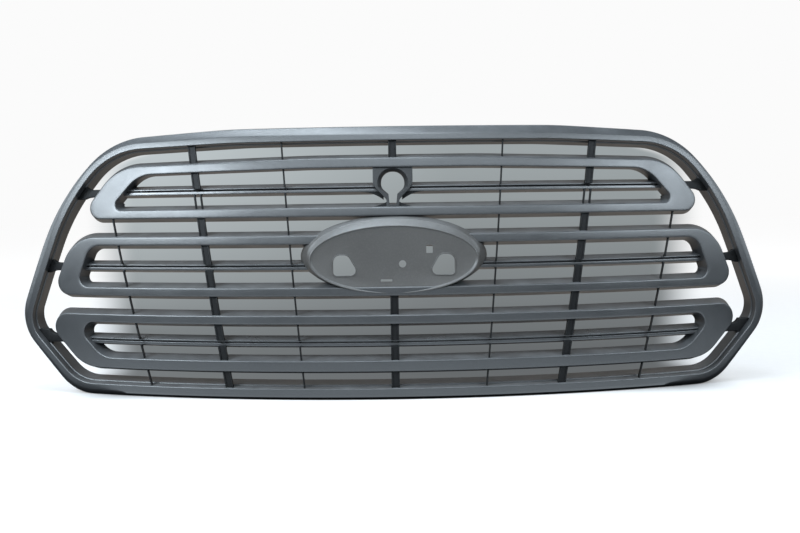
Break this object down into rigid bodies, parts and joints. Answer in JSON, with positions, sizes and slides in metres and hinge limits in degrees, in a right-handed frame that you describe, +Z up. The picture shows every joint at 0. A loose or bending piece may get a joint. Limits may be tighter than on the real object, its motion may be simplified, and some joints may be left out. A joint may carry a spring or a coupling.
{
  "type": "vehicle front grille",
  "caption": "Bowed black front grille: a six-sided frame round ring-shaped slats with double-lipped blades, fanning ribs, an oval badge base and a lock funnel.",
  "frame": {"origin": "middle of the width and of the depth, at the underside of the bottom rail", "axes": "+X across the vehicle, to the right in the front view; +Z up; the front of the grille faces -Y"},
  "size_m": [1.116, 0.1895, 0.382],
  "materials": {
    "badge_plastic": "fine grained black moulding, low sheen",
    "blade_plastic": "fine grained black moulding, low sheen",
    "fixing_plastic": "fine grained black moulding, low sheen",
    "frame_plastic": "fine grained black moulding, low sheen",
    "link_plastic": "fine grained black moulding, low sheen",
    "rib_plastic": "fine grained black moulding, low sheen",
    "ring_plastic": "fine grained black moulding, low sheen"
  },
  "bodies": {
    "root": {"badge_base": "badge_plastic", "centre_rib_lower": "rib_plastic", "centre_rib_upper": "rib_plastic", "inner_rib_left": "rib_plastic", "inner_rib_right": "rib_plastic", "locating_pin_left": "fixing_plastic", "locating_pin_right": "fixing_plastic", "lock_port": "badge_plastic", "lower_blade": "blade_plastic", "lower_link_left": "link_plastic", "lower_link_right": "link_plastic", "lower_ring": "ring_plastic", "middle_blade_left": "blade_plastic", "middle_blade_right": "blade_plastic", "middle_link_left": "link_plastic", "middle_link_right": "link_plastic", "middle_ring": "ring_plastic", "mounting_tab_1": "fixing_plastic", "mounting_tab_2": "fixing_plastic", "mounting_tab_3": "fixing_plastic", "mounting_tab_4": "fixing_plastic", "outer_rib_left": "rib_plastic", "outer_rib_right": "rib_plastic", "snap_hook_1": "fixing_plastic", "snap_hook_2": "fixing_plastic", "snap_hook_3": "fixing_plastic", "snap_hook_4": "fixing_plastic", "surround_frame": "frame_plastic", "upper_blade_left": "blade_plastic", "upper_blade_right": "blade_plastic", "upper_link_left": "link_plastic", "upper_link_right": "link_plastic", "upper_ring": "ring_plastic", "wide_rib_left": "rib_plastic", "wide_rib_right": "rib_plastic"}
  },
  "joints": []
}
